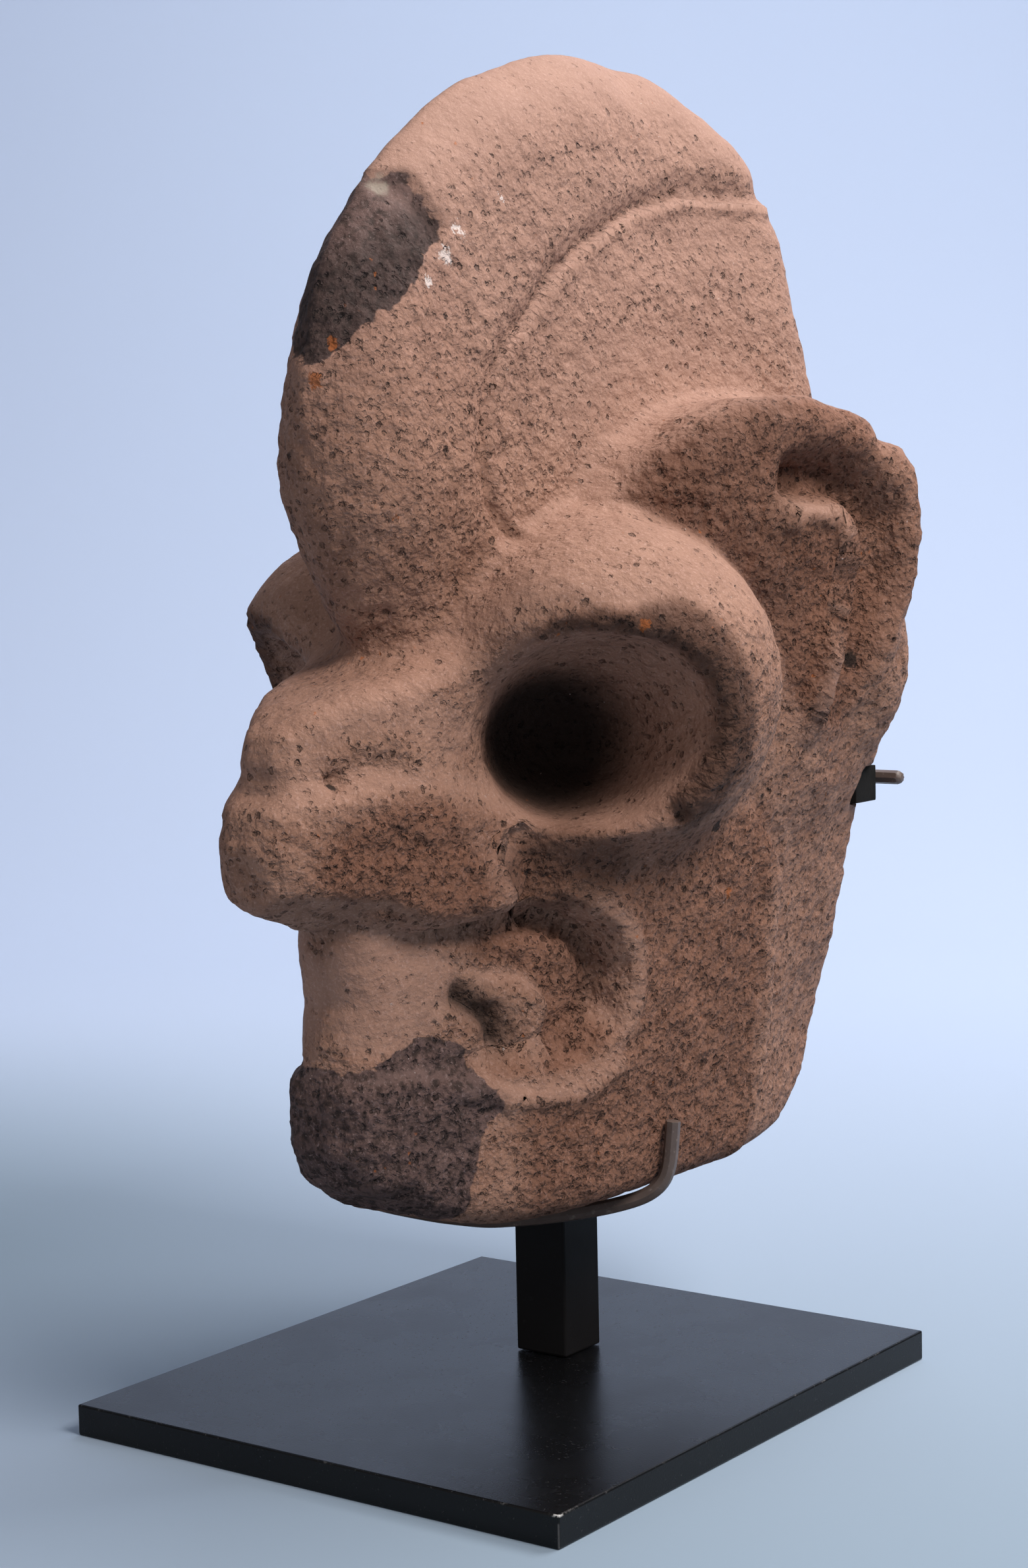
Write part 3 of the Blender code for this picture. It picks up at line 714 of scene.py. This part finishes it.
wear_and_top_light_zone, hollow_shade_zone, stain_zone, stain_black_zone, patina_and_shade_zone, deep_shade_zone, sunk_shade_zone = map(
    zone, ("wear_and_top_light", "hollow", "stained", "stain_black", "patina_and_shade", "deep", "sunk"))
rough_zone = 1 - wear_and_top_light_zone
big_cloud = volcanic.mottle(0.060, 4, 0.6)
blotches = volcanic.mottle(0.012, 5, 0.6)
pecks = volcanic.mottle(0.0024, 3, 0.55)
grain = volcanic.mottle(0.0009, 3, 0.6)
sand = volcanic.mottle(0.0004, 2, 0.6)
jitter = volcanic.mottle(0.0016, 2, 0.6, output="Color")
uneven = volcanic.node("VectorMath", {"operation": "MULTIPLY_ADD"},
                       {0: jitter, 1: (0.0022, 0.0022, 0.0022), 2: volcanic.place})


def pits(size, reach, share):
    """Irregular little pits of about one size, in a share of the places for them."""
    inputs = {"Vector": uneven, "Scale": 1 / size, "Randomness": 1.0}
    distance = volcanic.node("TexVoronoi", {}, inputs, "Distance")
    lot = volcanic.node("SeparateColor", {}, {0: volcanic.node("TexVoronoi", {}, inputs, "Color")})
    chosen = volcanic.fade(lot, 1 - share, 1.06 - share)
    return (1 - volcanic.fade(distance, reach * 0.35, reach)) * chosen


small_pits = pits(0.0016, 0.60, 0.10 + 0.32 * rough_zone)
middle_pits = pits(0.0027, 0.46, 0.03 + 0.24 * rough_zone)
deep_pits = pits(0.0050, 0.26, 0.01 + 0.10 * rough_zone)
stone_colour = volcanic.layered((0.235, 0.124, 0.078, 1), (
    (volcanic.fade(blotches + 0.4 * big_cloud, 0.52, 0.86), (0.350, 0.204, 0.137, 1)),
    # paler where worn and, as painted light, on surfaces facing up
    (wear_and_top_light_zone * 0.75, (0.410, 0.252, 0.184, 1)),
    # Raised grains are painted paler as a highlight, and low pecks, fine hollows and pits are
    # painted darker as shade in them
    (volcanic.fade(grain, 0.50, 0.70) * 0.4, (0.600, 0.405, 0.330, 1)),
    (volcanic.fade(pecks, 0.46, 0.28) * (0.06 + 0.26 * rough_zone), (0.150, 0.078, 0.048, 1)),
    (volcanic.fade(sand, 0.42, 0.26) * 0.25, (0.110, 0.060, 0.038, 1)),
    (small_pits * (0.15 + 0.34 * rough_zone), (0.090, 0.045, 0.029, 1)),
    (middle_pits * 0.45, (0.070, 0.036, 0.024, 1)),
    (deep_pits * 0.8, (0.035, 0.019, 0.014, 1)),
    # paler and pinker towards the top of the crest: painted highlight from above
    (volcanic.fade(volcanic.axis("Z"), 0.26, 0.35) * 0.15, (0.640, 0.465, 0.405, 1))))
darker_stone = volcanic.tint(1, stone_colour, (0.56, 0.43, 0.37, 1), "MULTIPLY")
stone_colour = volcanic.layered(stone_colour, (
    # darker where patinated and where shade is painted
    (patina_and_shade_zone * (0.65 + 0.7 * (blotches - 0.5)), darker_stone),
    # painted shade where the relief sinks deepest on rough stone
    (volcanic.fade(sunk_shade_zone, 0.25, 0.9) * rough_zone * 0.5, (0.085, 0.045, 0.030, 1)),
    # painted shade in the hollows
    (volcanic.fade(hollow_shade_zone, 0.45, 0.95) * 0.24, (0.060, 0.036, 0.026, 1)),
    # near black painted shade in the deepest places
    (deep_shade_zone * 0.93, (0.008, 0.006, 0.005, 1))))
stain_colour = volcanic.layered((0.026, 0.018, 0.017, 1), (
    # raised pecks and grains painted paler as highlights and pits darker as shade, over the stain's
    # own mottling
    (volcanic.fade(pecks, 0.34, 0.60), (0.130, 0.086, 0.078, 1)),
    (volcanic.fade(blotches, 0.50, 0.66) * 0.6, (0.200, 0.134, 0.119, 1)),
    (volcanic.fade(grain, 0.55, 0.72) * 0.45, (0.360, 0.280, 0.270, 1)),
    (small_pits * 0.5 + middle_pits * 0.4, (0.022, 0.016, 0.016, 1)),
    (volcanic.fade(stain_black_zone + 0.8 * pecks - 0.4, 0.15, 0.7) * 0.62, (0.012, 0.010, 0.011, 1))))
stain_share = volcanic.fade(stain_zone + 0.9 * pecks - 0.45, 0.32, 0.62)
stone_colour = volcanic.tint(stain_share * 0.93, stone_colour, stain_colour)


def spots(places_and_radii, ragged=0.0022):
    """Small ragged spots, with places in the carving's millimetres and radii in metres."""
    covered = 0
    for place, radius in places_and_radii:
        away = volcanic.distance(in_metres(np.array(place)).tolist()) + ragged * (grain + pecks - 1)
        covered = covered + (1 - volcanic.fade(away, radius * 0.55, radius))
    return covered


lime = spots([((18, -45, 288), 0.0030), ((17, -39, 296), 0.0016), ((18, -36, 294), 0.0014),
              ((18, -53, 280), 0.0018), ((18, -18, 306), 0.0010), ((52, -50, 182), 0.0012)], 0.006)
pale_spot = spots([((4, -57, 308), 0.0045)])
nostril_hole = ((14, -98, 140), 0.0022)
hole_shade = spots([(place, spread) for place, _, spread in small_holes] + [nostril_hole], 0.003)
rust = pits(0.0045, 0.16, 0.6) * volcanic.fade(volcanic.mottle(0.020, 2, 0.5), 0.56, 0.64)
rust = rust + spots([((7, -83, 262), 0.0022), ((4, -88, 252), 0.0026), ((74, -30, 182), 0.0018),
                     ((56, 40, 97), 0.0018)], 0.004)
crystal = pits(0.0026, 0.10, 0.5) * volcanic.fade(volcanic.mottle(0.012, 2, 0.5), 0.56, 0.64)
stone_colour = volcanic.layered(stone_colour, (
    (lime, (0.760, 0.690, 0.640, 1)), (pale_spot * 0.55, (0.440, 0.430, 0.350, 1)),
    # dark spots over the small holes and the nostril: painted shade in them
    (hole_shade * 0.9, (0.012, 0.008, 0.006, 1)), (rust * 0.75, (0.400, 0.125, 0.030, 1)),
    (crystal * 0.8, (0.700, 0.640, 0.600, 1))))
stone_colour = volcanic.tint(1, stone_colour, (0.88, 0.79, 0.78, 1), "MULTIPLY")
connect(volcanic.surface["Base Color"], stone_colour)
connect(volcanic.surface["Roughness"], 0.95 - wear_and_top_light_zone * 0.20)
volcanic.surface["Specular IOR Level"].default_value = 0.3
pitted = 0.6 * small_pits * (0.3 + 0.7 * rough_zone) + middle_pits + deep_pits
stone_relief = None
for height, depth in ((volcanic.mottle(0.0042, 2, 0.5) * (0.15 + 0.85 * rough_zone), 0.0038),
                      (pecks * (0.25 + 0.75 * rough_zone), 0.0014),
                      (1 - pitted, 0.0016),
                      (grain * (0.35 + 0.65 * rough_zone) + 0.35 * sand, 0.0004)):
    stone_relief = volcanic.relief(height, depth, stone_relief)
connect(volcanic.surface["Normal"], stone_relief)
stone_mesh.materials.clear()
stone_mesh.materials.append(volcanic.material)


# Studio.
# Pale blue paper, flat under the mount and swept up behind it, in soft light from above and
# from the camera's right.
sweep_shape = bmesh.new()
front_edge = sweep_shape.verts.new((-4, -2.5, 0))
bmesh.ops.extrude_vert_indiv(sweep_shape, verts=[front_edge])
sweep_shape.verts.ensure_lookup_table()
sweep_shape.verts[-1].co.y = 0.9
bmesh.ops.spin(sweep_shape, geom=[sweep_shape.verts[-1]], cent=(0, 0.9, 1.1), axis=(1, 0, 0),
               angle=math.pi / 2, steps=24)
sweep_shape.verts.ensure_lookup_table()
bmesh.ops.remove_doubles(sweep_shape, verts=sweep_shape.verts, dist=0.0001)
top_vert = max(sweep_shape.verts, key=lambda vert: vert.co.z)
rise = bmesh.ops.extrude_vert_indiv(sweep_shape, verts=[top_vert])["verts"][0]
rise.co.z = 4
sweep = bmesh.ops.extrude_edge_only(sweep_shape, edges=sweep_shape.edges)["geom"]
bmesh.ops.translate(sweep_shape, vec=(8, 0, 0),
                    verts=[part for part in sweep if isinstance(part, bmesh.types.BMVert)])
bmesh.ops.rotate(sweep_shape, cent=(0, 0, 0), matrix=Matrix.Rotation(camera_azimuth, 3, "Z"),
                 verts=sweep_shape.verts)
for face in sweep_shape.faces:
    face.smooth = True
sweep_mesh = bpy.data.meshes.new("paper_sweep")
sweep_shape.to_mesh(sweep_mesh)
sweep_shape.free()
paper_sweep = bpy.data.objects.new("paper_sweep", sweep_mesh)
bpy.context.collection.objects.link(paper_sweep)
paper = Finish("pale_paper")
to_right = (math.cos(camera_azimuth), math.sin(camera_azimuth), 0)
to_back = (-math.sin(camera_azimuth), math.cos(camera_azimuth), 0)
distance_right, distance_back = [
    paper.node("VectorMath", {"operation": "DOT_PRODUCT"}, {0: paper.place, 1: way}, "Value")
    for way in (to_right, to_back)]
# Painted shade on the paper: darker towards the front, with the stone's soft shadow painted on the
# left behind it
left_shade = paper.fade(distance_right, 0.05, -0.35) * (
    0.42 * paper.fade(distance_back, 0.75, 0.30) - 0.80 * paper.fade(distance_back, 0.22, -0.10))
paper_colour = paper.layered((0.505, 0.585, 0.765, 1), (
    (paper.mottle(0.6, 2, 0.5), (0.525, 0.605, 0.785, 1)),
    (paper.fade(distance_back, 1.1, -0.5) + left_shade, (0.215, 0.286, 0.356, 1))))
connect(paper.surface["Base Color"], paper_colour)
paper.surface["Roughness"].default_value = 0.9
connect(paper.surface["Normal"], paper.relief(paper.mottle(0.002, 2, 0.5), 0.00002))
sweep_mesh.materials.append(paper.material)


def soft_light(name, place, size, power, colour, aim=(0, 0, 0.24)):
    """Square area light that faces the stone or another aim."""
    lamp = bpy.data.lights.new(name, "AREA")
    lamp.size = size
    lamp.energy = power
    lamp.color = colour
    light = bpy.data.objects.new(name, lamp)
    light.location = place
    light.rotation_euler = (Vector(aim) - Vector(place)).to_track_quat("-Z", "Y").to_euler()
    bpy.context.collection.objects.link(light)


soft_light("key", (1.20, -0.15, 1.45), 0.7, 29, (1.0, 0.97, 0.94))
soft_light("top_back", (0.40, 0.80, 1.45), 0.8, 17, (1.0, 0.98, 0.96))
soft_light("front_fill", (-0.4, -2.2, 0.8), 1.6, 6, (1.0, 0.97, 0.94))
soft_light("paper_light", (-0.13, 1.02, 2.0), 1.0, 18, (0.95, 0.98, 1.0), (-0.94, 1.79, 0.45))
world = bpy.data.worlds.new("studio_air")
world.use_nodes = True
air = world.node_tree.nodes["Background"].inputs
air["Color"].default_value = (0.92, 0.95, 1.0, 1)
air["Strength"].default_value = 0.145
bpy.context.scene.world = world
bpy.context.scene.view_settings.view_transform = "Standard"
